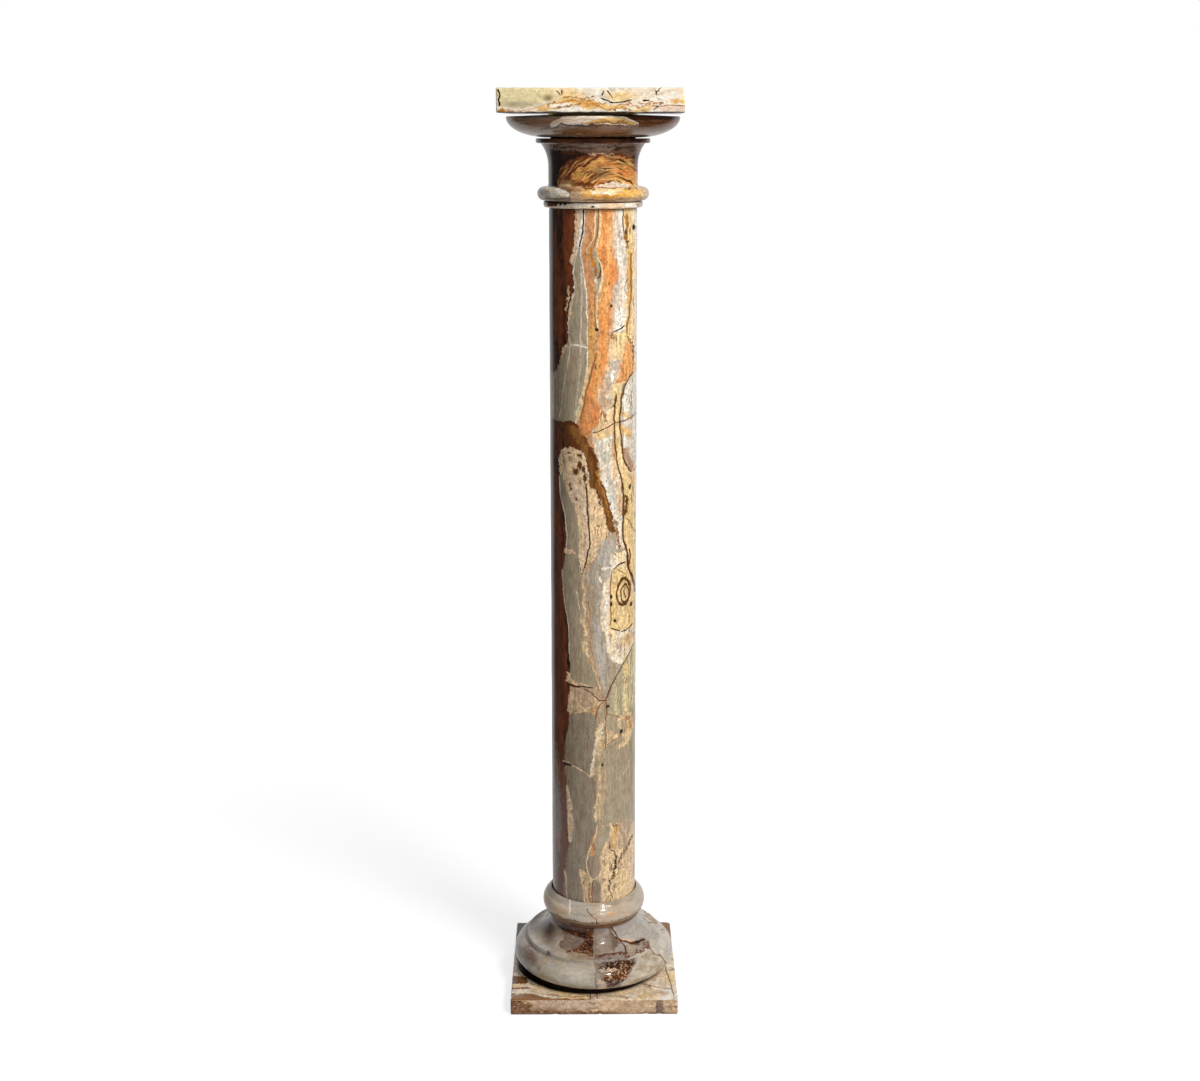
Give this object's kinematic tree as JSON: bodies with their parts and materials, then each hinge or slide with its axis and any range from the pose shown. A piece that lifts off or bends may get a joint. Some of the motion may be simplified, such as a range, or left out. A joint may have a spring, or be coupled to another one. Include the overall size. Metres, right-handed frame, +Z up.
{
  "type": "pedestal column",
  "caption": "Polished banded onyx pedestal column with a square plinth, moulded base, round tapered shaft, turned capital and a square top slab that revolves.",
  "frame": {"origin": "on the floor, at the middle of the plinth's underside, on the column's axis", "axes": "+Z up along the column's axis, +X to the right and +Y to the back as the picture looks at it"},
  "size_m": [0.1906, 0.1906, 1],
  "materials": {
    "plinth_slab": "polished banded onyx",
    "base_moulding": "polished banded onyx",
    "base_collar": "polished banded onyx",
    "shaft": "polished banded onyx",
    "neck_fillet": "polished banded onyx",
    "capital_neck": "polished banded onyx",
    "echinus": "polished banded onyx",
    "abacus_slab": "polished banded onyx",
    "mastic": "dull dark mastic",
    "steel": "plain turned steel",
    "brass": "turned brass"
  },
  "bodies": {
    "column": {"plinth_slab": "plinth_slab", "base_moulding": "base_moulding", "base_collar": "base_collar", "shaft": "shaft", "neck_fillet": "neck_fillet", "capital_neck": "capital_neck", "echinus": "echinus", "bed_plinth": "mastic", "bed_collar": "mastic", "bed_shaft_foot": "mastic", "bed_shaft_head": "mastic", "bed_neck": "mastic", "bed_echinus": "mastic", "tie_rod": "steel", "lower_washer": "steel", "lower_nut": "steel", "upper_washer": "steel", "upper_nut": "steel", "thrust_washer": "brass"},
    "top": {"abacus_slab": "abacus_slab", "pivot_bush": "brass"}
  },
  "joints": [
    {"name": "top_turn", "type": "hinge", "parent": "column", "child": "top", "pos_m": [0, 0, 0.976], "axis": [0, 0, 1], "continuous": true}
  ]
}
